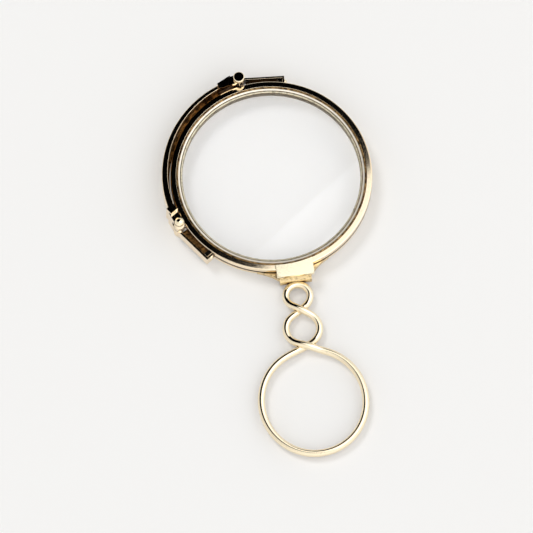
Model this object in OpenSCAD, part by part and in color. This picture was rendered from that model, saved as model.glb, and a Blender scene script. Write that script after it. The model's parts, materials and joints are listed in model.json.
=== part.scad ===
// Folding lorgnette: two round lenses that lie one over the other, a curved
// nose bridge hinged to both, and a finger-ring handle of twisted wire.
// It is drawn folded, lying on its back: +Z points out of the front lens and
// the handle runs along -Y. Millimetres throughout.

/* [Lenses and rims] */
// Outer radius of each rim
rim_r = 21.5; // [19:0.1:24]
// Thickness of each rim, front to back
rim_t = 1.25; // [1.2:0.05:1.6]
// Height of the rear rim above the table, on which the barrels stand
rear_rise = 1.5; // [1.3:0.05:2]
// Free space between the two folded rims
rim_gap = 0.3; // [0.25:0.05:0.6]
// Width of the flat face of a rim
face_w = 1.2; // [1:0.05:1.6]
// Width of the retaining ring inside the face
bezel_w = 1.35; // [1.2:0.05:1.6]
// How far the bead of the front retaining ring stands above the face
bead_rise = 0.12; // [0:0.01:0.2]
// Thickness of the lip that the lens rests on
lip_t = 0.3; // [0.25:0.05:0.35]
// Thickness of a lens at its edge
lens_edge_t = 0.4; // [0.35:0.05:0.45]
// How far the outer side of a lens bows out at its centre
lens_bow = 0.3; // [0.2:0.05:0.35]

/* [Bridge] */
// Direction of the upper hinge pin from the lens centre, degrees
top_pin_at = 100; // [90:1:110]
// Direction of the lower hinge pin from the lens centre, degrees
low_pin_at = 202; // [195:1:210]
// Gap between the rims and the band at its lower, thick end
band_gap = 0.35; // [0.3:0.05:0.8]
// Thickness of the band at its lower, thick end
band_w = 1.5; // [1.3:0.05:1.6]
// How much thinner the band is at its upper end
band_taper = 0.6; // [0:0.05:0.7]
// Width of the band, front to back
band_t = 3.1; // [2.6:0.1:3.4]
// How far the band stands in front of the front rim
band_rise = 0.6; // [0.4:0.05:0.9]

/* [Hinges] */
// Radius of the hinge barrels
barrel_r = 1.1; // [1.05:0.05:1.2]
// Radius of the hinge pins
pin_r = 0.5; // [0.4:0.05:0.6]
// How far the barrels stand in front of the front rim
barrel_rise = 1.7; // [1.4:0.05:2]
// How far the square shoulder stands in front of the front rim
shoulder_rise = 2.8; // [2.3:0.1:3.2]
// Length of the square shoulder
shoulder_l = 1.5; // [1.2:0.1:1.6]
// Width of the square shoulder
shoulder_w = 1.8; // [1.6:0.1:1.9]
// Radius of the domed head of the lower hinge pin
dome_r = 1.05; // [0.9:0.05:1.1]
// Height of the domed head of the lower hinge pin
dome_h = 0.75; // [0.5:0.05:1]
// Radius of the flat head of the upper hinge pin
cap_r = 1.2; // [1.1:0.05:1.25]
// Height of the flat head of the upper hinge pin
cap_h = 0.9; // [0.6:0.05:1.1]

/* [Leaf springs] */
// Length of each leaf spring
leaf_l = 8.6; // [7.5:0.1:9.5]
// Thickness of each leaf spring
leaf_t = 0.42; // [0.3:0.01:0.5]
// How far the outer face of a leaf stands off the rim at its ends
leaf_stand = 2; // [1.9:0.05:2.2]
// Width of the front leaf, front to back
front_leaf_w = 2.8; // [2.2:0.1:3]
// Width of the rear leaf, front to back
rear_leaf_w = 2.4; // [1.8:0.1:2.4]
// Radius of the round heads of the leaf studs
stud_r = 0.6; // [0.5:0.05:0.7]

/* [Catch] */
// Width of the thumb plate
plate_w = 8; // [7:0.1:9]
// Height of the thumb plate above the face of the front rim
plate_rise = 0.6; // [0.4:0.05:0.8]
// How far the thumb plate reaches beyond the rim
plate_out = 1.8; // [1.5:0.05:2.5]
// Radius of the catch plunger
plunger_r = 0.4; // [0.3:0.05:0.45]
// Travel of the catch plunger
plunger_travel = 0.3; // [0.15:0.05:0.3]

/* [Handle] */
// Width of the block that joins the handle to the rear rim
head_w = 6.8; // [6:0.1:8]
// How far the line of the handle passes beside the lens centre
handle_x = 2; // [0:0.1:3]
// Radius of the handle wire
wire_r = 0.8; // [0.6:0.05:0.85]
// Radius of the first, small loop, to the middle of the wire
loop_a_r = 2.6; // [2.2:0.1:3]
// Radius of the second loop, to the middle of the wire
loop_b_r = 3.6; // [3:0.1:4]
// Half width of the finger ring, to the middle of the wire
ring_rx = 11.1; // [9:0.1:12]
// Half length of the finger ring, to the middle of the wire
ring_ry = 11.75; // [9.5:0.05:13]
// Distance between the middle lines of two loops, end to end
loop_gap = 1.25; // [1:0.05:2]

/* [Hidden] */
$fn = 96;

gold = "#c9a76a";
pale_gold = "#d8c08c";
steel = "#8d8f92";
glass = [0.85, 0.92, 0.95, 0.4];

// Fits: running clearance round a pin, free space beside moving parts, the
// film of solder between fixed parts, and the play of a driven pin
pin_play = 0.05;
side_play = 0.12;
seat_play = 0.04;
drive_play = 0.01;
eps = 0.01;

// Heights of the layers above the table
rear_top = rear_rise + rim_t;
front_z = rear_top + rim_gap;
face_z = front_z + rim_t;
barrel_top = face_z + barrel_rise;
shoulder_top = face_z + shoulder_rise;
band_top = face_z + band_rise;
band_bottom = band_top - band_t;

// Radii and heights inside a rim
bezel_r = rim_r - face_w;
sight_r = bezel_r - bezel_w;
lens_r = bezel_r - 0.15;
lip_r = sight_r - 0.25;
lens_top = lip_t + lens_edge_t;
bezel_foot = lens_top + 0.07;
rim_edge = 0.12;
bead_w = 0.42;
bead_sink = 0.05;
groove_depth = 0.12;
bow_r = (lens_r * lens_r + lens_bow * lens_bow) / (2 * lens_bow);
function bow_z(r) = sqrt(bow_r * bow_r - r * r) - bow_r + lens_bow;

// Places round the lens: a point at radius r and angle a, and the angle of
// one millimetre along the circle of the hinge pins
function polar(r, a) = [r * cos(a), r * sin(a)];
pin_circle_r = rim_r + barrel_r;
step_deg = 180 / PI / pin_circle_r;
top_pin = polar(pin_circle_r, top_pin_at);
low_pin = polar(pin_circle_r, low_pin_at);
knuckle_w = 1.9;
notch_r = barrel_r + 0.45;
arm_w = barrel_r * 1.7;
arm_start = pin_r + pin_play + 0.1;
slot_r = barrel_r + 0.45;

// Ends of the bridge band. The upper lug widens from the band to a blunt end
// beside its barrel, and a square shoulder stands askew on the lower lug.
top_lug_off = 1.4;
top_lug_l = 3.3;
top_lug_in = rim_r + 0.4;
top_lug_w = 1.95;
shoulder_off = 3.05;
shoulder_skew = 20;
shoulder_mid_r = rim_r + 1.35;
band_from = top_pin_at + (top_lug_off + top_lug_l) * step_deg;
band_to = low_pin_at - shoulder_off * step_deg;
band_in = rim_r + band_gap;
band_r = band_in + band_w;
band_edge = 0.15;

// Leaf springs: each is a flat strip that stands off the rim. One end is bent
// in to a foot that a stud holds to a lug, and the rolled tip at the other
// end lies beside a hinge barrel.
leaf_r = rim_r + leaf_stand;
leaf_half = asin(leaf_l / 2 / leaf_r);
leaf_out = leaf_r * cos(leaf_half);
tip_r = 0.32;
tip_gap = 0.12;
tip_x = leaf_out - leaf_t / 2;
tip_from_centre = norm([tip_x, leaf_l / 2]);
tip_from_pin = barrel_r + tip_r + tip_gap;
tip_turn = acos((pow(pin_circle_r, 2) + pow(tip_from_centre, 2)
    - pow(tip_from_pin, 2)) / (2 * pin_circle_r * tip_from_centre));
leaf_mid = tip_turn + atan(leaf_l / 2 / tip_x);
foot_in = sqrt(rim_r * rim_r - leaf_l * leaf_l / 4) + 0.2;
foot_end = leaf_l / 2 - leaf_t;
lug_l = 1;
lug_play = 0.1;
stud_x = (foot_in + leaf_out - leaf_t) / 2;
stud_shank = 0.3;
stud_depth = 0.7;
front_leaf_z = rim_t - front_leaf_w - 0.15;
rear_leaf_z = rim_t - rear_leaf_w + 0.15;

// Handle: lower edge of its head, centres of its loops, and the slopes of the
// straight pieces of wire that cross between them. At a crossing the strands
// take all the height between the table and the front rim but a small gap.
plate_reach = rim_r + plate_out;
head_y = -(plate_reach + 0.55);
head_z = 0.1;
head_sink = 0.45;
wire_z = (front_z - 0.11) / 2;
wire_lift = min(wire_z - 0.05 - wire_r, wire_r * 0.75);
loop_ab = loop_a_r + loop_b_r + loop_gap;
loop_bc = loop_b_r + ring_ry + loop_gap;
loop_a = [handle_x, head_y + head_sink - wire_r - loop_a_r];
loop_b = loop_a - [0, loop_ab];
ring = loop_b - [0, loop_bc];
function ring_reach(a) = norm([ring_rx * cos(a), ring_ry * sin(a)]);
slope_ab = asin((loop_a_r + loop_b_r) / loop_ab);
slope_0 = asin((loop_b_r + ring_ry) / loop_bc);
slope_bc = asin((loop_b_r + ring_reach(slope_0)) / loop_bc);
cross_ab = loop_a - [0, loop_ab * loop_a_r / (loop_a_r + loop_b_r)];
cross_bc = loop_b
    - [0, loop_bc * loop_b_r / (loop_b_r + ring_reach(slope_bc))];

// Catch: a sprung pin in the head of the handle, under the thumb plate
plunger = [handle_x, -(rim_r + 0.9)];
well_r = plunger_r + 0.2;
well_top = 1.6;
flange_t = 0.3;
flange_foot = well_top - 0.05 - flange_t;
coil_pressed = 0.45;
plug_top = flange_foot - plunger_travel - coil_pressed;
nose_top = front_z - 0.08;
coil_wire = 0.06;
coil_turns = 2.5;

// The origin is under the middle of the folded object
mid_x = (rim_r - band_r) / 2;
mid_y = (top_pin[1] + cap_r + ring[1] - ring_ry - wire_r) / 2;
module placed() translate([-mid_x, -mid_y, 0]) children();
module rear_layer() placed() translate([0, 0, rear_rise]) children();
module front_layer() placed() translate([0, 0, front_z]) children();

// A drum of radius r from height z0 to z1
module drum(r, z0, z1) translate([0, 0, z0]) cylinder(r = r, h = z1 - z0);

// Turns the rear lens over, so that its open side faces the table
module turned_over() translate([0, 0, rim_t]) mirror([0, 0, 1]) children();

// Rim of one lens, open side up: outer wall, flat face and lens lip
module rim_ring() rotate_extrude() polygon([
    [lip_r, 0], [rim_r - rim_edge, 0], [rim_r, rim_edge],
    [rim_r, rim_t - rim_edge], [rim_r - rim_edge, rim_t], [bezel_r, rim_t],
    [bezel_r, lip_t], [lip_r, lip_t]
]);

// Relief in a rim beside the barrel of the other rim's hinge
module relief(pin) translate(pin) drum(notch_r, -1, rim_t + 1);

// Ring that holds the lens in its rim: a bead, a groove and a sloping wall
module bezel_ring(rise) {
    out = bezel_r - seat_play;
    mid = out - bead_w / 2;
    z = rim_t - bead_sink;
    rotate_extrude() polygon(concat(
        [[sight_r, bezel_foot], [out, bezel_foot]],
        [for (a = [0:22.5:180])
            [mid + bead_w / 2 * cos(a), z + (rise + bead_sink) * sin(a)]],
        [[mid - bead_w / 2 - 0.08, rim_t - groove_depth],
         [sight_r, bezel_foot + 0.1]]
    ));
}

// Lens with a flat inner side and a gently bowed outer side
module lens_disc() rotate_extrude() polygon(concat(
    [[0, lip_t + eps], [lens_r, lip_t + eps]],
    [for (i = [12:-1:0]) let (r = lens_r * i / 12) [r, lens_top + bow_z(r)]]
));

// Knuckle that is brazed to a rim: its barrel starts at height low, and its
// foot is as thick as the rim
module knuckle(pin_at, bore_r, low) difference() {
    union() {
        translate(polar(pin_circle_r, pin_at)) drum(barrel_r, low, rim_t);
        rotate([0, 0, pin_at]) translate([rim_r - 0.2, -knuckle_w / 2, 0])
            cube([barrel_r + 0.4, knuckle_w, rim_t]);
    }
    drum(rim_r + seat_play, low - 1, rim_t + 1);
    translate(polar(pin_circle_r, pin_at)) drum(bore_r, low - 1, rim_t + 1);
}

// Turns to the middle of a leaf: +X points outwards, +Y towards its foot
module at_leaf(pin_at, side)
    rotate([0, 0, pin_at + side * leaf_mid])
        mirror([0, side < 0 ? 1 : 0, 0]) children();

// Axis of a leaf's stud, with +Z pointing away from the hinge
module at_stud()
    translate([stud_x, leaf_l / 2, rim_t / 2]) rotate([-90, 0, 0]) children();

module leaf(width, z0) difference() {
    union() {
        translate([leaf_out - leaf_t, -leaf_l / 2, z0])
            cube([leaf_t, leaf_l, width]);
        translate([foot_in, foot_end, z0])
            cube([leaf_out - foot_in - eps, leaf_t, width]);
        translate([tip_x, -leaf_l / 2, z0])
            cylinder(r = tip_r, h = width);
    }
    at_stud() drum(stud_shank + 0.03, -1, 1);
}

module leaf_lug() difference() {
    translate([foot_in - 2, foot_end - lug_l - eps, 0])
        cube([leaf_out - leaf_t - lug_play - foot_in + 2, lug_l, rim_t]);
    drum(rim_r + seat_play, -1, rim_t + 1);
    at_stud() drum(stud_shank + drive_play, -leaf_t - stud_depth - 0.1, 1);
}

module leaf_stud() at_stud() {
    drum(stud_shank, -leaf_t - stud_depth, 0.1);
    intersection() {
        drum(stud_r, eps, stud_r);
        translate([0, 0, -0.1]) sphere(stud_r);
    }
}

// One strand of the handle, as middle points from the top of the first loop
// to the bottom of the ring. The other strand is its mirror image.
function along(p, q, n) = [for (i = [1:n]) p + (q - p) * i / (n + 1)];
function round_loop(c, rx, ry, a0, a1, n) =
    [for (i = [0:n]) let (a = a0 + (a1 - a0) * i / n)
        c + [rx * cos(a), ry * sin(a)]];
ring_turn = atan(ring_ry / ring_rx * tan(slope_bc));
strand_a = round_loop(loop_a, loop_a_r, loop_a_r, 90, -slope_ab, 11);
strand_b = round_loop(loop_b, loop_b_r, loop_b_r,
                      180 - slope_ab, 180 + slope_bc, 11);
strand_c = round_loop(ring, ring_rx, ring_ry, ring_turn, -90, 25);
strand = concat(
    strand_a, along(strand_a[11], strand_b[0], 4),
    strand_b, along(strand_b[11], strand_c[0], 6), strand_c
);

// Height of the strand: it passes below at the first crossing and above at
// the second
cross_span = 4.2;
function near(p, x) = norm(p - x) < cross_span
    ? (cos(180 * norm(p - x) / cross_span) + 1) / 2 : 0;
function strand_z(p, up) =
    wire_z + up * wire_lift * (near(p, cross_bc) - near(p, cross_ab));

// Round wire along one strand, drawn for the side given by way (1 or -1)
wire_sides = 16;
module strand_wire(way) {
    last = len(strand) - 1;
    mid = [for (p = strand)
        [way * (p[0] - handle_x), p[1], strand_z(p, way)]];
    dir = [for (i = [0:last])
        i == 0 ? [way, 0, 0] : i == last ? [-way, 0, 0]
            : (mid[i + 1] - mid[i - 1]) / norm(mid[i + 1] - mid[i - 1])];
    skin = [for (i = [0:last])
        let (s = cross(dir[i], [0, 0, 1]) / norm(cross(dir[i], [0, 0, 1])),
             u = cross(s, dir[i]))
        for (k = [0:wire_sides - 1]) let (a = 360 * k / wire_sides)
            mid[i] + wire_r * (cos(a) * s + sin(a) * u)];
    walls = [for (i = [0:last - 1], k = [0:wire_sides - 1])
        let (a = i * wire_sides, b = a + wire_sides,
             j = (k + 1) % wire_sides)
            [a + k, a + j, b + j, b + k]];
    ends = [
        [for (k = [wire_sides - 1:-1:0]) k],
        [for (k = [0:wire_sides - 1]) last * wire_sides + k]
    ];
    translate([handle_x, 0, 0])
        polyhedron(points = skin, faces = concat(walls, ends), convexity = 8);
}

// Fine coil spring between the plug and the plunger
module coil(r, wire, z0, z1, turns) {
    steps = round(turns * 16);
    sides = 8;
    rise = (z1 - z0 - 2 * wire) / steps;
    tilt = atan(rise * 16 / (2 * PI * r));
    skin = [for (i = [0:steps]) let (a = 360 * i / 16)
        for (k = [0:sides - 1]) let (b = 360 * k / sides,
            o = [r + wire * cos(b), wire * sin(b) * -sin(tilt),
                 wire * sin(b) * cos(tilt)])
            [o[0] * cos(a) - o[1] * sin(a), o[0] * sin(a) + o[1] * cos(a),
             z0 + wire + rise * i + o[2]]];
    walls = [for (i = [0:steps - 1], k = [0:sides - 1])
        let (a = i * sides, b = a + sides, j = (k + 1) % sides)
            [a + k, b + k, b + j, a + j]];
    ends = [
        [for (k = [0:sides - 1]) k],
        [for (k = [sides - 1:-1:0]) steps * sides + k]
    ];
    polyhedron(points = skin, faces = concat(walls, ends), convexity = 8);
}

// Rear lens group, with the open side of its rim down
module rear_rim() color(gold) rear_layer() difference() {
    turned_over() rim_ring();
    relief(low_pin);
}

module rear_bezel() color(pale_gold) rear_layer() turned_over() bezel_ring(0);

module rear_lens() color(glass) rear_layer() turned_over() lens_disc();

module rear_knuckle() color(gold)
    rear_layer() knuckle(top_pin_at, pin_r + drive_play, -rear_rise);

module rear_spring_lug()
    color(gold) rear_layer() at_leaf(top_pin_at, -1) leaf_lug();

module rear_leaf_spring() color(pale_gold)
    rear_layer() at_leaf(top_pin_at, -1) leaf(rear_leaf_w, rear_leaf_z);

module rear_spring_stud()
    color(pale_gold) rear_layer() at_leaf(top_pin_at, -1) leaf_stud();

// Upper pin, with a flat head that narrows a little towards its barrel
module top_hinge_pin() color(pale_gold) placed() translate(top_pin) {
    neck = barrel_top + seat_play;
    round = 0.2;
    drum(pin_r, 0.05, neck + 0.1);
    translate([0, 0, neck]) rotate_extrude() polygon([
        [0, 0], [cap_r - round, 0], [cap_r, cap_h / 2],
        [cap_r, cap_h - round], [cap_r - round / 3, cap_h - round / 3],
        [cap_r - round, cap_h], [0, cap_h]
    ]);
}

// Head of the handle: a block on the rear rim with a rounded lower edge. Its
// sides flare into the rim, and its end is hollowed to take the first loop.
flare_r = 12;
flare_turn = 21.3;
flare_mid = atan(handle_x / rim_r) - 90;
module head_flare(side) {
    x = handle_x + side * (head_w / 2 - eps);
    a = flare_mid + side * flare_turn;
    touch = polar(rim_r + seat_play, a);
    centre = polar(rim_r + seat_play + flare_r, a);
    foot = centre[1] + sqrt(flare_r * flare_r - pow(x - centre[0], 2));
    difference() {
        translate([0, 0, rear_rise]) linear_extrude(rim_t)
            polygon([[x, foot], touch, touch + [0, 2], [x, touch[1] + 2]]);
        translate(centre) drum(flare_r, -1, rear_top + 1);
    }
}

module handle_head() {
    half = (rear_top - head_z) / 2;
    color(gold) placed() difference() {
        union() {
            translate([handle_x - head_w / 2, head_y + half, head_z])
                cube([head_w, -rim_r + 1.5 - head_y - half, 2 * half]);
            translate([handle_x - head_w / 2, head_y + half, head_z + half])
                rotate([0, 90, 0]) cylinder(r = half, h = head_w);
            head_flare(-1);
            head_flare(1);
        }
        drum(rim_r + seat_play, -1, rear_top + 1);
        translate(plunger) drum(plunger_r + pin_play, -1, rear_top + 1);
        translate(plunger) drum(well_r, -1, well_top);
        translate([loop_a[0], loop_a[1], wire_z]) rotate_extrude()
            translate([loop_a_r, 0]) circle(wire_r + seat_play);
    }
}

module handle_wire() color(gold) placed() {
    strand_wire(1);
    strand_wire(-1);
}

module catch_spring() color(steel) placed() translate(plunger)
    coil(plunger_r, coil_wire, plug_top + eps, flange_foot - eps, coil_turns);

module catch_plug() color(pale_gold) placed() translate(plunger)
    drum(well_r - drive_play, head_z + 0.05, plug_top);

// Middle of the square shoulder: +X points out, +Y towards the lower pin
module at_shoulder() {
    at = low_pin_at - shoulder_off * step_deg;
    translate(polar(shoulder_mid_r, at)) rotate([0, 0, at + shoulder_skew])
        children();
}

// Bridge: a band that is thick below and thin above, because its inner side
// is round about a point that is shifted towards the upper hinge
module bridge_band() color(gold) placed() difference() {
    rotate([0, 0, band_from + seat_play * step_deg])
        rotate_extrude(angle = band_to - band_from)
            polygon([
                [band_in - 1, band_bottom], [band_r - band_edge, band_bottom],
                [band_r, band_bottom + band_edge],
                [band_r, band_top - band_edge],
                [band_r - band_edge, band_top], [band_in - 1, band_top]
            ]);
    translate(polar(band_taper, top_pin_at + 2))
        drum(band_in, band_bottom - 1, band_top + 1);
    at_shoulder()
        translate([-band_w * 3, -shoulder_l / 2 - seat_play, 0])
            cube([band_w * 6, shoulder_l * 3, band_top + 1]);
}

// Upper lug: it widens from the band to a blunt end, and an arm leads to the
// barrel on the hinge pin, above the rear knuckle
module top_lug() {
    low = rear_top + side_play;
    end = top_pin_at + top_lug_off * step_deg;
    color(gold) placed() difference() {
        union() {
            translate([0, 0, band_bottom])
                linear_extrude(barrel_top - band_bottom) polygon([
                    polar(band_in + band_taper - 0.3, band_from),
                    polar(band_r, band_from),
                    polar(top_lug_in + top_lug_w, end + 0.6),
                    polar(top_lug_in, end)
                ]);
            rotate([0, 0, top_pin_at])
                translate([pin_circle_r - arm_w / 2, arm_start, low])
                    cube([arm_w, top_lug_off + 0.3 - arm_start,
                          barrel_top - low]);
            translate(top_pin) drum(barrel_r, low, barrel_top);
        }
        translate(top_pin) drum(pin_r + pin_play, -1, barrel_top + 1);
    }
}

// Lower lug: a square shoulder, and two cheeks that hold the front knuckle
module lower_lug() {
    arm_end = shoulder_off - 0.1;
    color(gold) placed() difference() {
        union() {
            at_shoulder()
                translate([-shoulder_w / 2, -shoulder_l / 2, band_bottom])
                    cube([shoulder_w, shoulder_l,
                          shoulder_top - band_bottom]);
            rotate([0, 0, low_pin_at])
                translate([pin_circle_r - arm_w / 2, -arm_end, 0])
                    cube([arm_w, arm_end - arm_start, barrel_top]);
            translate(low_pin) drum(barrel_r, 0, barrel_top);
        }
        translate(low_pin)
            drum(slot_r, front_z - side_play, face_z + side_play);
        translate(low_pin) drum(pin_r + drive_play, -1, barrel_top + 1);
    }
}

// Lower pin, with a domed head on top of the barrel
module lower_hinge_pin() color(pale_gold) placed() translate(low_pin) {
    ball_r = (dome_r * dome_r + dome_h * dome_h) / (2 * dome_h);
    neck = barrel_top + seat_play;
    drum(pin_r, 0.05, neck + 0.1);
    intersection() {
        drum(dome_r, neck, neck + dome_h);
        translate([0, 0, neck + dome_h - ball_r]) sphere(ball_r);
    }
}

// Front lens group
module front_rim() color(gold) front_layer() difference() {
    rim_ring();
    relief(top_pin);
}

module front_bezel() color(pale_gold) front_layer() bezel_ring(bead_rise);

module front_lens() color(glass) front_layer() lens_disc();

module front_knuckle()
    color(gold) front_layer() knuckle(low_pin_at, pin_r + pin_play, 0);

module front_spring_lug()
    color(gold) front_layer() at_leaf(low_pin_at, 1) leaf_lug();

module front_leaf_spring() color(pale_gold)
    front_layer() at_leaf(low_pin_at, 1) leaf(front_leaf_w, front_leaf_z);

module front_spring_stud()
    color(pale_gold) front_layer() at_leaf(low_pin_at, 1) leaf_stud();

// Thumb piece: a plate on the front rim, with a foot below that is hollowed
// underneath and at both sides
foot_w = 5;
plate_in = rim_r - 1.05;
cove = [-(plate_reach + 0.8), front_z - 0.2];
cove_r = 1.5;
side_cove_r = 2;
module thumb_piece() {
    top = face_z + plate_rise;
    side = foot_w / 2 + side_cove_r;
    color(gold) placed() difference() {
        translate([handle_x - plate_w / 2, -plate_reach, front_z])
            cube([plate_w, plate_reach - rim_r + 3, top - front_z]);
        drum(plate_in, 0, top + 1);
        drum(rim_r + seat_play, 0, face_z + eps);
        translate([handle_x, cove[0], cove[1]]) rotate([0, 90, 0])
            cylinder(r = cove_r, h = plate_w + 2, center = true);
        for (x = [handle_x - side, handle_x + side])
            translate([x, -rim_r, front_z - 1.1]) rotate([90, 0, 0])
                cylinder(r = side_cove_r, h = 8, center = true);
    }
}

module catch_plunger() color(pale_gold) placed() translate(plunger) {
    drum(well_r - pin_play, flange_foot, flange_foot + flange_t);
    drum(plunger_r, flange_foot, nose_top - plunger_r / 2);
    translate([0, 0, nose_top - plunger_r / 2]) intersection() {
        drum(plunger_r, -eps, plunger_r);
        translate([0, 0, plunger_r * -0.75]) sphere(plunger_r * 1.25);
    }
}

rear_rim();
rear_bezel();
rear_lens();
rear_knuckle();
rear_spring_lug();
rear_leaf_spring();
rear_spring_stud();
top_hinge_pin();
handle_head();
handle_wire();
catch_spring();
catch_plug();
bridge_band();
top_lug();
lower_lug();
lower_hinge_pin();
front_rim();
front_bezel();
front_lens();
front_knuckle();
front_spring_lug();
front_leaf_spring();
front_spring_stud();
thumb_piece();
catch_plunger();
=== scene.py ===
"""Folding lorgnette in gold-filled metal, folded on a white studio table.

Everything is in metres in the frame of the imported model: +Z points out of the
front lens, and the handle runs along -Y. Profiles of turned pieces are lists
of (radius, height) in millimetres.
"""
import json
import math

import bpy
from mathutils import Matrix, Vector


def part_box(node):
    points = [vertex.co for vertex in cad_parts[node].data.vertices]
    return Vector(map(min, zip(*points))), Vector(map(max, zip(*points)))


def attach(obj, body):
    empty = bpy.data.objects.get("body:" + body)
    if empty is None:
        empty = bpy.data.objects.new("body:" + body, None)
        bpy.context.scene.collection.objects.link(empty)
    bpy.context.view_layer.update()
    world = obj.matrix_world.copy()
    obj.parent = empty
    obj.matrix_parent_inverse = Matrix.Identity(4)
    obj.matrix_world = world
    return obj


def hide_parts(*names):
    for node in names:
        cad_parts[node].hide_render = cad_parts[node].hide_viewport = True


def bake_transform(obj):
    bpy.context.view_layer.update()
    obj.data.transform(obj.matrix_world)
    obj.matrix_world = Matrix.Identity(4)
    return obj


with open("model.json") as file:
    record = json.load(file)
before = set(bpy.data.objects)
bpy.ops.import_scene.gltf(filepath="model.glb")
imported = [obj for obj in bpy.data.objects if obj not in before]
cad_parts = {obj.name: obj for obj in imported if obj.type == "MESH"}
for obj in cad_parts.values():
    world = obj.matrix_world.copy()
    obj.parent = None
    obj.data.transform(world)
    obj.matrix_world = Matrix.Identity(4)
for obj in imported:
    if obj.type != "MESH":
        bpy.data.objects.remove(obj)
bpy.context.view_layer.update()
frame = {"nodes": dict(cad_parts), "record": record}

MM = 0.001
MERGE = 0.002 * MM        # points closer than this become one
SMOOTH = 40               # edges flatter than this look round, degrees
nodes = frame["nodes"]
scene = bpy.context.scene


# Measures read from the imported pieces

rim_low, rim_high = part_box("front_rim")
rear_low, rear_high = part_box("rear_rim")
bezel_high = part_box("front_bezel")[1]
lens_mid = (rear_low + rear_high) / 2
lens_x, lens_y = lens_mid.x, lens_mid.y
face_z = rim_high.z


# Camera: where the photograph was taken from. The object's plane is tilted
# back, and the handle leans to the right in the picture.

PICTURE = 533             # the photograph's width and height, pixels
SCALE = 4.70              # pixels for one millimetre of the object
LEAN = 7.8                # turn of the handle in its own plane, degrees
TILT = 20.5               # angle between the view and the lens axis, degrees
DEEP = -92.0              # direction in the picture that the tilt shortens
LENS_AT = (271.4, 175.6)  # pixel of the front lens's centre
FAR = 4.0                 # the camera's distance, near enough that views from
                          # other sides keep the object in their clip range
SENSOR = 36.0             # width of the camera's sensor, in Blender's mm


def picture_axes():
    """Directions on the object that point right and up in the picture."""
    turn = math.radians(LEAN)
    deep = math.radians(DEEP)
    near = Vector((math.cos(deep), math.sin(deep)))
    side = Vector((-math.sin(deep), math.cos(deep)))
    squeeze = math.cos(math.radians(TILT))
    rise = math.sin(math.radians(TILT))

    def to_object(v):
        c, s = math.cos(turn), math.sin(turn)
        return Vector((c * v.x + s * v.y, -s * v.x + c * v.y))

    near_o, side_o = to_object(near), to_object(side)
    rows = []
    for k in (0, 1):
        flat = squeeze * near[k] * near_o + side[k] * side_o
        rows.append(Vector((flat.x, flat.y, -rise * near[k])))
    return rows[0].normalized(), rows[1].normalized()


def add_camera():
    """Places the camera, and returns the direction from the object to it."""
    right, up = picture_axes()
    up = (up - up.dot(right) * right).normalized()
    back = right.cross(up)
    pixel = MM / SCALE
    aim = (Vector((lens_x, lens_y, face_z))
           - right * (LENS_AT[0] - PICTURE / 2) * pixel
           - up * (PICTURE / 2 - LENS_AT[1]) * pixel)
    data = bpy.data.cameras.new("photo_camera")
    data.sensor_width = SENSOR
    data.lens = SENSOR * FAR / (PICTURE * pixel)
    data.clip_start = 0.01
    data.clip_end = 20.0
    camera = bpy.data.objects.new("photo_camera", data)
    scene.collection.objects.link(camera)
    turn = Matrix((right, up, back)).transposed().to_4x4()
    camera.matrix_world = Matrix.Translation(aim + back * FAR) @ turn
    scene.camera = camera
    return back


view_back = add_camera()


# Materials

MARK_MM = 0.35            # polishing marks, coarser than real so they show
SPECK_MM = 0.8            # brown specks, coarser than real for that reason
WAVE_MM = 0.9             # slow waves that hand polishing leaves
SMEAR_MM = 9.0            # old finger marks on the glass
FLECK_MM = 0.1            # flecks that the die leaves on wire
GLOSS_VARIES = (0.7, 1.5)  # least and most roughness, for a finish's own 1
HOLLOW_SHADE_FROM = 0.62         # open share of the sky at which the painted shade in hollows begins
HOLLOW_SHADE_FULL = 0.2          # and at which it is full
STAIN_AND_SHADE_DULLS = 0.25        # what full stain and painted shade add to the roughness


def colour(text):
    """An sRGB hex colour as the linear RGBA that a shader takes."""
    parts = [int(text[i:i + 2], 16) / 255 for i in (1, 3, 5)]
    linear = [p / 12.92 if p <= 0.04045 else ((p + 0.055) / 1.055) ** 2.4
              for p in parts]
    return (*linear, 1.0)


def add_node(tree, kind, links=(), **settings):
    """A node with its settings. Links are (socket, node, output socket)."""
    node = tree.nodes.new("ShaderNode" + kind)
    inputs = settings.pop("inputs", {})
    for name, value in settings.items():
        setattr(node, name, value)
    for socket, value in inputs.items():
        node.inputs[socket].default_value = value
    for socket, source, output in links:
        tree.links.new(source.outputs[output], node.inputs[socket])
    return node


def new_material(name):
    material = bpy.data.materials.new(name)
    material.use_nodes = True
    tree = material.node_tree
    return material, tree, tree.nodes["Principled BSDF"]


def set_inputs(shader, **values):
    for name, value in values.items():
        shader.inputs[name.replace("_", " ")].default_value = value


def per_metre(size_mm):
    """The texture scale whose features are this many millimetres across."""
    return 1 / (size_mm * MM)


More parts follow.
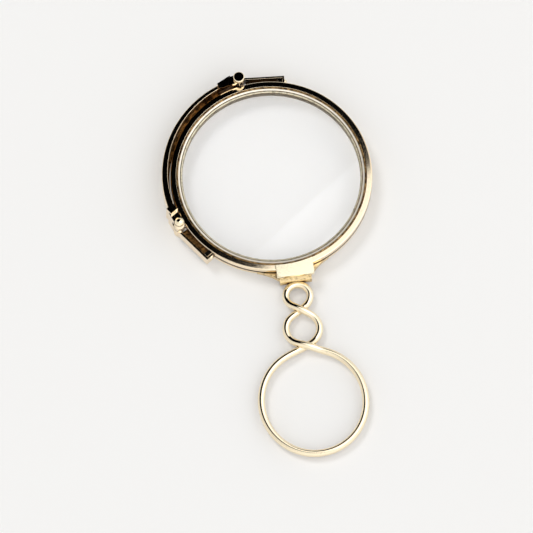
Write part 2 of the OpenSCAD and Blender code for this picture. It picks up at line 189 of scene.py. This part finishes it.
def gold_finish(name, base, stain_and_shade, rough, spots, hollow_shade, hollow_mm,
                ripple_mm=0.0012, metal=1.0):
    """Gold rolled over brass. Polishing left fine marks that vary the gloss;
    old wax and tarnish stay brown in small spots. The hollows get the same
    brown as painted shade, with some wax and tarnish in it.

    From 0 to 1, spots and hollow_shade say how far the specks and the painted
    shade in the hollows turn to the stain_and_shade colour. A wall shelters
    what lies within hollow_mm of it."""
    material, tree, shader = new_material(name)
    shader.inputs["Metallic"].default_value = metal
    place = add_node(tree, "TexCoord")
    marks = add_node(tree, "TexNoise", [("Vector", place, "Object")],
                     inputs={"Scale": per_metre(MARK_MM), "Detail": 5.0})
    # The noise keeps to 0.3 to 0.7 nearly everywhere.
    gloss = add_node(tree, "MapRange", [("Value", marks, 0)],
                     inputs={"From Min": 0.3, "From Max": 0.7,
                             "To Min": rough * GLOSS_VARIES[0],
                             "To Max": rough * GLOSS_VARIES[1]})
    specks = add_node(tree, "TexNoise", [("Vector", place, "Object")],
                      inputs={"Scale": per_metre(SPECK_MM), "Detail": 8.0,
                              "Roughness": 0.7})
    # With more spots, lower noise already makes one.
    spot = add_node(tree, "MapRange", [("Value", specks, 0)],
                    interpolation_type="SMOOTHSTEP",
                    inputs={"From Min": 0.60 - 0.2 * spots,
                            "From Max": 0.72 - 0.12 * spots,
                            "To Min": 0.0, "To Max": spots})
    # Ambient occlusion browns the hollows: painted shade, with some tarnish.
    shelter = add_node(tree, "AmbientOcclusion", samples=8,
                       inputs={"Distance": hollow_mm * MM})
    painted_shade = add_node(tree, "MapRange", [("Value", shelter, "AO")],
                    interpolation_type="SMOOTHSTEP",
                    inputs={"From Min": HOLLOW_SHADE_FROM, "From Max": HOLLOW_SHADE_FULL,
                            "To Min": 0.0, "To Max": hollow_shade})
    stain_and_shade_mask = add_node(tree, "Math", [(0, spot, 0), (1, painted_shade, 0)],
                     operation="MAXIMUM")
    tint = add_node(tree, "Mix", [(0, stain_and_shade_mask, 0)], data_type="RGBA",
                    inputs={6: colour(base), 7: colour(stain_and_shade)})
    dull = add_node(tree, "Math", [(0, stain_and_shade_mask, 0), (2, gloss, 0)],
                    operation="MULTIPLY_ADD", inputs={1: STAIN_AND_SHADE_DULLS})
    ripple = add_node(tree, "TexNoise", [("Vector", place, "Object")],
                      inputs={"Scale": per_metre(WAVE_MM), "Detail": 2.0})
    bump = add_node(tree, "Bump", [("Height", ripple, 0)],
                    inputs={"Strength": 1.0, "Distance": ripple_mm * MM})
    tree.links.new(tint.outputs[2], shader.inputs["Base Color"])
    tree.links.new(dull.outputs[0], shader.inputs["Roughness"])
    tree.links.new(bump.outputs[0], shader.inputs["Normal"])
    return material


# Polished gold that keeps a pale cream gleam
polished_gold = gold_finish(
    "gold_filled_polished", base="#F6E4C6", stain_and_shade="#7A5026", rough=0.07,
    spots=0.10, hollow_shade=0.9, hollow_mm=1.7)
# The same gold, handled every day: wider dull spots in pale gold
handled_gold = gold_finish(
    "gold_filled_handled", base="#F9EACB", stain_and_shade="#7E5020", rough=0.06,
    spots=0.14, hollow_shade=0.95, hollow_mm=1.5)
# The retaining ring's outer slope: paler and rather matt, like frosted gold
frosted_gold = gold_finish(
    "gold_filled_frosted", base="#F6EFE0", stain_and_shade="#7A6038", rough=0.40,
    spots=0.22, hollow_shade=0.5, hollow_mm=0.5, ripple_mm=0.006, metal=0.45)
# The thumb piece, rubbed pale by use
rubbed_gold = gold_finish(
    "gold_filled_rubbed", base="#FCF1D2", stain_and_shade="#A5762E", rough=0.11,
    spots=0.12, hollow_shade=0.85, hollow_mm=0.9, ripple_mm=0.002)
# The bead, where brown wax has filled the marks of the setting tool
waxed_gold = gold_finish(
    "gold_filled_waxed", base="#B89766", stain_and_shade="#3A2410", rough=0.22,
    spots=1.0, hollow_shade=0.8, hollow_mm=0.6, ripple_mm=0.03)
# Walls in the recesses and grooves, where no cloth reaches: a brown copy of the
# gold with darker specks, painted shade with some tarnish
shaded_tarnished_gold = gold_finish(
    "gold_filled_shaded_tarnished", base="#A87C46", stain_and_shade="#24140A", rough=0.22,
    spots=1.0, hollow_shade=0.9, hollow_mm=1.0, ripple_mm=0.06)
# The inner slope of the retaining ring: gold dulled to a green-grey
dulled_gold = gold_finish(
    "gold_filled_dulled", base="#D6CEB4", stain_and_shade="#5C5032", rough=0.42,
    spots=0.6, hollow_shade=0.7, hollow_mm=0.5, ripple_mm=0.02, metal=0.35)
# The far leaf's hidden side and the gap between the rims: a near-black copy
# of the gold, painted deep shade
deep_shade_gold = gold_finish(
    "gold_filled_deep_shade", base="#4E3820", stain_and_shade="#120B05", rough=0.16,
    spots=0.9, hollow_shade=0.9, hollow_mm=1.0, ripple_mm=0.02)
# The head under the thumb piece: yellow gold with stains from the solder
soldered_gold = gold_finish(
    "gold_filled_soldered", base="#EBD2A0", stain_and_shade="#6B4316", rough=0.14,
    spots=0.6, hollow_shade=0.95, hollow_mm=2.4, ripple_mm=0.004)


def clear_glass():
    """Crown glass that lets the studio light through to the table. A film of
    old finger marks makes its gloss a little uneven."""
    material, tree, shader = new_material("crown_glass")
    set_inputs(shader, Base_Color=(1, 1, 1, 1), IOR=1.52,
               Transmission_Weight=1.0)
    place = add_node(tree, "TexCoord")
    smears = add_node(tree, "TexNoise", [("Vector", place, "Object")],
                      inputs={"Scale": per_metre(SMEAR_MM), "Detail": 6.0})
    film = add_node(tree, "MapRange", [("Value", smears, 0)],
                    inputs={"From Min": 0.5, "From Max": 0.8,
                            "To Min": 0.0, "To Max": 0.03})
    tree.links.new(film.outputs[0], shader.inputs["Roughness"])
    path = add_node(tree, "LightPath")
    clear = add_node(tree, "BsdfTransparent")
    lit = add_node(tree, "Math", [(0, path, "Is Shadow Ray"),
                                  (1, path, "Is Diffuse Ray")],
                   operation="MAXIMUM")
    mix = add_node(tree, "MixShader", [
        (0, lit, 0), (1, shader, "BSDF"), (2, clear, "BSDF")])
    tree.links.new(mix.outputs[0], tree.nodes["Material Output"].inputs[0])
    return material


def drawn_steel():
    """Spring wire, pulled through a die: grey with fine dull flecks."""
    material, tree, shader = new_material("steel_wire_drawn")
    set_inputs(shader, Metallic=1.0, Base_Color=colour("#9A9DA0"))
    place = add_node(tree, "TexCoord")
    flecks = add_node(tree, "TexNoise", [("Vector", place, "Object")],
                      inputs={"Scale": per_metre(FLECK_MM), "Detail": 4.0})
    gloss = add_node(tree, "MapRange", [("Value", flecks, 0)],
                     inputs={"To Min": 0.2, "To Max": 0.45})
    tree.links.new(gloss.outputs[0], shader.inputs["Roughness"])
    return material


glass = clear_glass()
steel = drawn_steel()

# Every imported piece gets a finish. Most are replaced further down.
for name, node in nodes.items():
    node.data.materials.clear()
    node.data.materials.append(
        glass if name.endswith("_lens") else
        steel if name == "catch_spring" else polished_gold)


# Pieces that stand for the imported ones, with softened edges and finer form

body_of = {node: body
           for body, members in frame["record"]["behaviour"]["bodies"].items()
           for node in members}


def stand_in(piece, node, *finishes, slot="gold"):
    """Lets a finished piece stand for a packed one, on the same body."""
    for finish in finishes:
        piece.data.materials.append(finish)
    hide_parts(node)
    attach(piece, body_of[node])
    return piece


def select_only(*pieces):
    """Selects these pieces, and makes the last one active."""
    bpy.ops.object.select_all(action="DESELECT")
    for piece in pieces:
        piece.select_set(True)
        bpy.context.view_layer.objects.active = piece


def apply_modifier(piece, name, kind, **settings):
    bpy.context.view_layer.objects.active = piece
    modifier = piece.modifiers.new(name, kind)
    for setting, value in settings.items():
        setattr(modifier, setting, value)
    bpy.ops.object.modifier_apply(modifier=name)


def finish_shape(piece, angle=SMOOTH):
    """Ends edit mode, and leaves the object at the origin."""
    bpy.ops.object.mode_set(mode="OBJECT")
    bpy.ops.object.transform_apply(location=True, rotation=True, scale=True)
    bpy.ops.object.shade_smooth_by_angle(angle=math.radians(angle))
    return piece


def merged_copy(name, node):
    """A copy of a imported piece, its points merged, open in edit mode."""
    piece = bpy.data.objects.new(name, nodes[node].data.copy())
    scene.collection.objects.link(piece)
    piece.data.materials.clear()
    select_only(piece)
    bpy.ops.object.mode_set(mode="EDIT")
    bpy.ops.mesh.select_all(action="SELECT")
    bpy.ops.mesh.remove_doubles(threshold=MERGE)
    return piece


def softened(node, finish, width_mm, steps=2, corners_mm=0):
    """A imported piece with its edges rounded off, as polishing leaves them.

    Its upright corners at the handle's side may be cut off first."""
    piece = merged_copy("soft_" + node, node)
    bpy.ops.mesh.dissolve_limited(angle_limit=math.radians(1))
    bpy.ops.object.mode_set(mode="OBJECT")
    if corners_mm:
        cut_corners(piece, *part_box(node), corners_mm)
    apply_modifier(piece, "edges", "BEVEL", width=width_mm * MM,
                   segments=steps, limit_method="ANGLE",
                   angle_limit=math.radians(30))
    finish_shape(piece)
    # Weighted normals keep a flat face evenly bright up to its edges.
    apply_modifier(piece, "flats", "WEIGHTED_NORMAL", keep_sharp=True,
                   weight=100)
    return stand_in(piece, node, finish)


def cut_corners(piece, low, high, size_mm):
    """Cuts the two upright edges at the corners near the handle."""
    bpy.ops.object.mode_set(mode="EDIT")
    bpy.ops.mesh.select_mode(type="EDGE")
    bpy.ops.mesh.select_all(action="DESELECT")
    bpy.ops.object.mode_set(mode="OBJECT")
    points = piece.data.vertices
    lean, from_side, from_end = 0.02 * MM, 0.6 * MM, 1.2 * MM
    for edge in piece.data.edges:
        a, b = (points[i].co for i in edge.vertices)
        upright = (a.xy - b.xy).length < lean
        outermost = min(a.x - low.x, high.x - a.x) < from_side
        if upright and outermost and a.y - low.y < from_end:
            edge.select = True
    bpy.ops.object.mode_set(mode="EDIT")
    bpy.ops.mesh.bevel(offset=size_mm * MM, segments=2, affect="EDGES")
    bpy.ops.mesh.select_mode(type="VERT")
    bpy.ops.object.mode_set(mode="OBJECT")


FACING = 0.6              # least cosine at which a wall faces the centre


def darken_within(piece, finish):
    """Walls that face the lens's centre get a darker finish, as painted shade
    in the recess that they stand in.
    """
    piece.data.materials.append(finish)
    for face in piece.data.polygons:
        inward = Vector((lens_x, lens_y, face.center.z)) - face.center
        if face.normal.dot(inward.normalized()) > FACING:
            face.material_index = 1


def turned(name, profile, closed=True, steps=192):
    """A ring or disc turned about the upright line through the lenses."""
    bpy.ops.object.select_all(action="DESELECT")
    radius, height = profile[0]
    bpy.ops.mesh.primitive_circle_add(
        vertices=steps, radius=radius * MM,
        location=(lens_x, lens_y, height * MM))
    piece = bpy.context.object
    piece.name = name
    bpy.ops.object.mode_set(mode="EDIT")
    bpy.ops.mesh.select_all(action="SELECT")
    for r, h in profile[1:]:
        bpy.ops.mesh.extrude_region_move(
            TRANSFORM_OT_translate={"value": (0, 0, (h - height) * MM)})
        bpy.ops.transform.resize(
            value=(r / radius, r / radius, 1),
            center_override=(lens_x, lens_y, h * MM))
        radius, height = r, h
    bpy.ops.mesh.select_all(action="SELECT")
    if closed:
        bpy.ops.mesh.remove_doubles(threshold=MERGE)
    else:
        bpy.ops.mesh.fill_holes(sides=0)
    bpy.ops.mesh.select_all(action="SELECT")
    bpy.ops.mesh.normals_make_consistent(inside=False)
    return finish_shape(piece)


def arc(mid, half, rise, steps, begin=0, end=180):
    """Points of a bow over mid, half as wide as the bow and rise high."""
    angles = [math.radians(begin + (end - begin) * i / steps)
              for i in range(steps + 1)]
    return [(mid[0] + half * math.cos(a), mid[1] + rise * math.sin(a))
            for a in angles]


def in_rim(profile, base_mm, flip):
    """Puts a profile, measured from a rim's rear, in place. The rear rim's
    pieces are turned over."""
    return [(r, base_mm + (rim_mm - h if flip else h)) for r, h in profile]


# Measures of the lenses and their rims, in millimetres

front_mm = rim_low.z / MM
rear_mm = rear_low.z / MM
rim_mm = face_z / MM - front_mm
rim_out = (rim_high.x - lens_x) / MM
bezel_out = (bezel_high.x - lens_x) / MM
SIGHT_R = 18.95           # radius of the open sight
SEAT = 0.77               # height at which the retaining ring sits
BEAD_W = 0.34             # width of the bead at the ring's outer edge
BEAD_RISE = 0.12          # how far the front bead stands above the rim
BEAD_SUNK = 0.05          # how far its centre lies below the rim's face
BEAD_FOOT = 0.05          # narrow slope at the bead's inner side
BAND_IN = 19.47           # inner edge of the ring's outer, light band
GROOVE_W = 0.15           # width of the groove's darker part, painted shade
WALL_W = 0.05             # width of the darker edge round the open sight, painted shade
LENS_EDGE = (0.31, 0.70)  # lower and upper side of a lens's edge in its rim
LENS_PLAY = 0.11          # between a lens's edge and the ring's outer side
LENS_BOW = 0.30           # how far a lens's middle stands above its edge


def bezel_profile(rise):
    """The retaining ring's outline, from its seat over the bead inwards."""
    bead = (bezel_out - BEAD_W / 2, rim_mm - BEAD_SUNK)
    foot = bezel_out - BEAD_W - BEAD_FOOT
    outer_slope = [(foot, rim_mm - 0.12), (foot - 0.07, rim_mm - 0.08),
                   (BAND_IN + 0.06, rim_mm - 0.16), (BAND_IN, rim_mm - 0.20)]
    groove = [(BAND_IN - 0.06, rim_mm - 0.30),
              (BAND_IN - 0.14, rim_mm - 0.30),
              (BAND_IN - 0.18, rim_mm - 0.22)]
    inner_slope = [(SIGHT_R + 0.12, 0.93), (SIGHT_R + 0.04, 0.90)]
    wall = [(SIGHT_R, 0.83), (SIGHT_R, SEAT)]
    return ([(bezel_out, SEAT)]
            + arc(bead, BEAD_W / 2, rise + BEAD_SUNK, 10)
            + outer_slope + groove + inner_slope + wall
            + [(bezel_out, SEAT)])


def add_bezel(node, base_mm, rise, flip):
    """A retaining ring, each of its bands in a finish of its own; the groove
    and the wall round the open sight get the brown finish as painted shade.
    """
    piece = turned(node + "_ring", in_rim(bezel_profile(rise), base_mm, flip))
    stand_in(piece, node, frosted_gold, waxed_gold, shaded_tarnished_gold,
             dulled_gold)
    outer_slope, bead, shaded_band, inner_slope = range(4)
    for face in piece.data.polygons:
        out = (face.center.xy - Vector((lens_x, lens_y))).length / MM
        face.material_index = (
            bead if out > bezel_out - BEAD_W - BEAD_FOOT else
            outer_slope if out > BAND_IN else
            shaded_band if out > BAND_IN - GROOVE_W or out < SIGHT_R + WALL_W else
            inner_slope)


def lens_profile(flat_rings=4, bow_rings=14):
    """A flat lower side from near the middle outwards, and a bowed upper
    side back. A face closes each small hole that is left in the middle."""
    edge_r = bezel_out - LENS_PLAY
    low, high = LENS_EDGE
    flat = [(edge_r * k / flat_rings, low) for k in range(1, flat_rings + 1)]
    bow = [(edge_r * k / bow_rings,
            high + LENS_BOW * (1 - (k / bow_rings) ** 2))
           for k in range(bow_rings, 0, -1)]
    return flat + bow


def add_lens(node, base_mm, flip):
    piece = turned(node + "_disc", in_rim(lens_profile(), base_mm, flip),
                   closed=False, steps=128)
    stand_in(piece, node, glass, slot="lens_glass")


add_bezel("front_bezel", front_mm, BEAD_RISE, False)
add_bezel("rear_bezel", rear_mm, 0.0, True)
add_lens("front_lens", front_mm, False)
add_lens("rear_lens", rear_mm, True)


# The rims: turned rings with a rounded outer edge, notched beside a pin

FACE_EDGE = 0.24          # rounding of the face's outer edge
BACK_EDGE = 0.14          # rounding of the back's outer edge
INNER_EDGE = 0.07         # rounding of both inner edges
EDGE_STEP = 0.03          # short flat step that keeps a flat face flat
GAP_EDGE = 0.12           # strip beside the gap between the rims, painted deep shade
PIN_CIRCLE_R = 22.6       # from the lens's centre to a pin
NOTCH_R = 1.55            # so that a rim clears the other hinge's barrel
NOTCH_TALL = 3.0          # more than a rim's thickness
TOP_PIN_AT = 100          # the pins' places round the lens, degrees
LOW_PIN_AT = 202


def quarter(r, h, size, begin):
    """A rounded edge with a short flat step before and after it."""
    points = arc((r, h), size, size, 4, begin, begin + 90)
    (ax, ay), (bx, by) = points[0], points[-1]
    a, b = math.radians(begin), math.radians(begin + 90)
    return ([(ax + EDGE_STEP * math.sin(a), ay - EDGE_STEP * math.cos(a))]
            + points
            + [(bx - EDGE_STEP * math.sin(b), by + EDGE_STEP * math.cos(b))])


def rim_profile():
    """A flat face between a round outer edge and a small inner one."""
    points = (
        quarter(rim_out - FACE_EDGE, rim_mm - FACE_EDGE, FACE_EDGE, 0)
        + quarter(bezel_out + INNER_EDGE, rim_mm - INNER_EDGE, INNER_EDGE, 90)
        + quarter(bezel_out + INNER_EDGE, INNER_EDGE, INNER_EDGE, 180)
        + quarter(rim_out - BACK_EDGE, BACK_EDGE, BACK_EDGE, 270))
    return points + points[:1]


def add_rim(node, base_mm, pin_at, flip):
    """A rim, notched where the other rim's hinge stands beside it."""
    ring = turned(node + "_turned", in_rim(rim_profile(), base_mm, flip),
                  steps=256)
    at = math.radians(pin_at)
    bpy.ops.object.select_all(action="DESELECT")
    bpy.ops.mesh.primitive_cylinder_add(
        vertices=96, radius=NOTCH_R * MM, depth=NOTCH_TALL * MM,
        location=(lens_x + PIN_CIRCLE_R * MM * math.cos(at),
                  lens_y + PIN_CIRCLE_R * MM * math.sin(at),
                  (base_mm + rim_mm / 2) * MM))
    cutter = bpy.context.object
    select_only(ring)
    apply_modifier(ring, "notch", "BOOLEAN", object=cutter, solver="EXACT")
    bpy.data.objects.remove(cutter, do_unlink=True)
    bpy.ops.object.shade_smooth_by_angle(angle=math.radians(SMOOTH))
    stand_in(ring, node, polished_gold, deep_shade_gold)
    # The strip beside the gap between the rims gets the near-black finish:
    # painted shade.
    gap = (base_mm + (rim_mm if flip else 0)) * MM
    for face in ring.data.polygons:
        if abs(face.center.z - gap) < GAP_EDGE * MM:
            face.material_index = 1


def add_shade_web(piece, inner, outer, low, high, begin, end):
    """A thin dark sheet, painted shade, that closes the gap towards the rim.

    Radii and heights are in millimetres, angles in degrees."""
    shade_web = turned("shade_web", [(outer, low), (outer, high), (inner, high),
                         (inner, low), (outer, low)])
    bpy.ops.object.mode_set(mode="EDIT")
    for angle, side in ((begin, 1), (end, -1)):
        a = math.radians(angle)
        bpy.ops.mesh.select_all(action="SELECT")
        bpy.ops.mesh.bisect(
            plane_co=(lens_x, lens_y, 0),
            plane_no=(math.sin(a) * side, -math.cos(a) * side, 0),
            use_fill=True, clear_outer=True)
    bpy.ops.object.mode_set(mode="OBJECT")
    for finish in piece.data.materials:
        shade_web.data.materials.append(finish)
    # The sheet takes the piece's second, darker finish: painted shade.
    for face in shade_web.data.polygons:
        face.material_index = 1
    select_only(shade_web, piece)
    bpy.ops.object.join()


add_rim("front_rim", front_mm, TOP_PIN_AT, False)
add_rim("rear_rim", rear_mm, LOW_PIN_AT, True)

band = softened("bridge_band", polished_gold, 0.22, steps=3)
# The band's inner walls and a sheet across its gap get painted shade.
darken_within(band, shaded_tarnished_gold)
add_shade_web(band, inner=21.64, outer=22.6, low=1.86, high=2.1,
                 begin=107, end=192)

softened("top_lug", polished_gold, 0.18)
softened("lower_lug", polished_gold, 0.18)
softened("front_knuckle", polished_gold, 0.06)
softened("rear_knuckle", polished_gold, 0.06)

front_leaf = softened("front_leaf_spring", polished_gold, 0.07)
# The leaves' inner walls and sheets across their gaps get painted shade.
darken_within(front_leaf, shaded_tarnished_gold)
add_shade_web(front_leaf, inner=21.4, outer=22.86, low=3.1, high=3.35,
                 begin=205.8, end=225)
rear_leaf = softened("rear_leaf_spring", polished_gold, 0.07)
darken_within(rear_leaf, deep_shade_gold)
add_shade_web(rear_leaf, inner=21.4, outer=22.86, low=1.6, high=1.85,
                 begin=77, end=96)

softened("front_spring_lug", polished_gold, 0.08)
softened("rear_spring_lug", polished_gold, 0.08)
softened("top_hinge_pin", handled_gold, 0.08)
softened("lower_hinge_pin", handled_gold, 0.08)
softened("front_spring_stud", handled_gold, 0.05)
softened("rear_spring_stud", handled_gold, 0.05)
softened("handle_head", soldered_gold, 0.15)
softened("thumb_piece", rubbed_gold, 0.26, steps=3, corners_mm=0.8)


# The wires

WIRE_SMOOTH = 50          # as SMOOTH, for the round wires
WIRE_QUADS = math.radians(40)    # bend across which two triangles still join


def add_round(name, node):
    """A wound or bent wire with smooth sides."""
    piece = merged_copy(name, node)
    bpy.ops.mesh.tris_convert_to_quads(face_threshold=WIRE_QUADS,
                                       shape_threshold=WIRE_QUADS)
    bpy.ops.object.mode_set(mode="OBJECT")
    apply_modifier(piece, "rounder", "SUBSURF", levels=1, render_levels=1)
    return finish_shape(piece, WIRE_SMOOTH)


stand_in(add_round("wire_loops", "handle_wire"), "handle_wire", handled_gold)

# The catch's coil stands in the head.
coil = add_round("catch_coil", "catch_spring")
coil.data.materials.append(steel)
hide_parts("catch_spring")
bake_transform(coil)


# Studio

FLOOR_WIDE = 6.0          # so wide that its edge never shows
SEEN_LIFT = 0.10          # glow of the card to the camera and in the metal
THROUGH_LIFT = 0.20       # glow of the card through a lens


def add_floor():
    """White card. It looks a little brighter to the eye than it lights."""
    bpy.ops.object.select_all(action="DESELECT")
    bpy.ops.mesh.primitive_plane_add(size=FLOOR_WIDE, location=(0, 0, 0))
    floor = bpy.context.object
    floor.name = "studio_floor"
    material, tree, shader = new_material("white_card")
    set_inputs(shader, Base_Color=colour("#F1F0EE"), Roughness=0.9,
               Emission_Color=(1, 1, 1, 1))
    path = add_node(tree, "LightPath")
    seen = add_node(tree, "Math", [(0, path, "Is Camera Ray"),
                                   (1, path, "Is Glossy Ray")],
                    operation="MAXIMUM")
    through = add_node(tree, "Math", [(0, path, "Is Transmission Ray")],
                       operation="MULTIPLY", inputs={1: THROUGH_LIFT})
    lift = add_node(tree, "Math", [(0, seen, 0), (2, through, 0)],
                    operation="MULTIPLY_ADD", inputs={1: SEEN_LIFT})
    tree.links.new(lift.outputs[0], shader.inputs["Emission Strength"])
    floor.data.materials.append(material)


add_floor()


def add_lamp(name, kind, **settings):
    data = bpy.data.lights.new(name, kind)
    for setting, value in settings.items():
        setattr(data, setting, value)
    lamp = bpy.data.objects.new(name, data)
    scene.collection.objects.link(lamp)
    return lamp


# A light tent all round, with one dark opening above the object. The polished
# flat faces show the opening, so they look black, and all else looks pale.

OPENING_AT = (-0.42, 0.42)       # right and up of what the flat faces mirror
OPENING_DARK = 36.0              # half-angle that is black, degrees
OPENING_ENDS = 41.0              # half-angle at which the tent is full again
TENT_GLOW = (0.84, 1.16)         # at the upper left and at the lower right

right, up = picture_axes()
# What the camera sees mirrored in a flat face lies this way.
face_view = Vector((-view_back.x, -view_back.y, view_back.z))


def add_tent():
    """The world: white cloth, brighter to the lower right, with a hole."""
    world = bpy.data.worlds.new("light_tent")
    scene.world = world
    world.use_nodes = True
    tree = world.node_tree
    background = tree.nodes["Background"]
    background.inputs["Color"].default_value = colour("#FFFFFF")
    coordinates = add_node(tree, "TexCoord")

    def toward(way):
        return add_node(tree, "VectorMath", [(0, coordinates, "Generated")],
                        operation="DOT_PRODUCT", inputs={1: way.normalized()})

    opening = face_view + right * OPENING_AT[0] + up * OPENING_AT[1]
    side, hole = toward(right - up), toward(opening)
    level = add_node(tree, "MapRange", [("Value", side, "Value")],
                     interpolation_type="SMOOTHSTEP",
                     inputs={"From Min": -0.5, "From Max": 0.5,
                             "To Min": TENT_GLOW[0], "To Max": TENT_GLOW[1]})
    cover = add_node(tree, "MapRange", [("Value", hole, "Value")],
                     interpolation_type="SMOOTHSTEP",
                     inputs={"From Min": math.cos(math.radians(OPENING_ENDS)),
                             "From Max": math.cos(math.radians(OPENING_DARK)),
                             "To Min": 1.0, "To Max": 0.0})
    glow = add_node(tree, "Math", [(0, level, 0), (1, cover, 0)],
                    operation="MULTIPLY")
    tree.links.new(glow.outputs[0], background.inputs["Strength"])


add_tent()

# A softbox hangs over the object. Flat faces to the lower right of a line
# across the rims mirror it, from the thumb piece to the right of the rim.

EDGE = math.radians(-52.8)       # the way across that line
BOX_FROM = 0.0136                # distance of the line from the lens's centre
BOX_WIDE = 0.12
BOX_UP = 0.12                    # its height above the front rim's face
BOX_GLOW = 1.3                   # brightness of its cloth, where 1 is white

edge_way = Vector((math.cos(EDGE), math.sin(EDGE), 0))
softbox = add_lamp("softbox", "AREA", shape="SQUARE", size=BOX_WIDE,
                   energy=BOX_GLOW * math.pi * BOX_WIDE ** 2)
softbox.location = (Vector((lens_x, lens_y, face_z))
                    + edge_way * (BOX_FROM + BOX_WIDE / 2)
                    + face_view * (BOX_UP / face_view.z))
softbox.rotation_euler = (0, 0, EDGE)
softbox.visible_camera = False
softbox.visible_diffuse = False

# A soft lamp from the upper left throws the rims' shadow inside the lenses.

SHADOW_GLOW = 0.85               # strength, in watts for a square metre
SHADOW_SOFT = math.radians(24)   # how wide the lamp looks from the table
SHADOW_LEAN = 0.85               # way to the upper left, for 1 straight up

shadow_lamp = add_lamp("shadow_lamp", "SUN", energy=SHADOW_GLOW,
                       angle=SHADOW_SOFT, specular_factor=0.0)
lamp_way = Vector((0, 0, 1)) + (up - right).normalized() * SHADOW_LEAN
shadow_lamp.rotation_euler = lamp_way.to_track_quat("Z", "Y").to_euler()
shadow_lamp.visible_glossy = False

scene.view_settings.view_transform = "Standard"
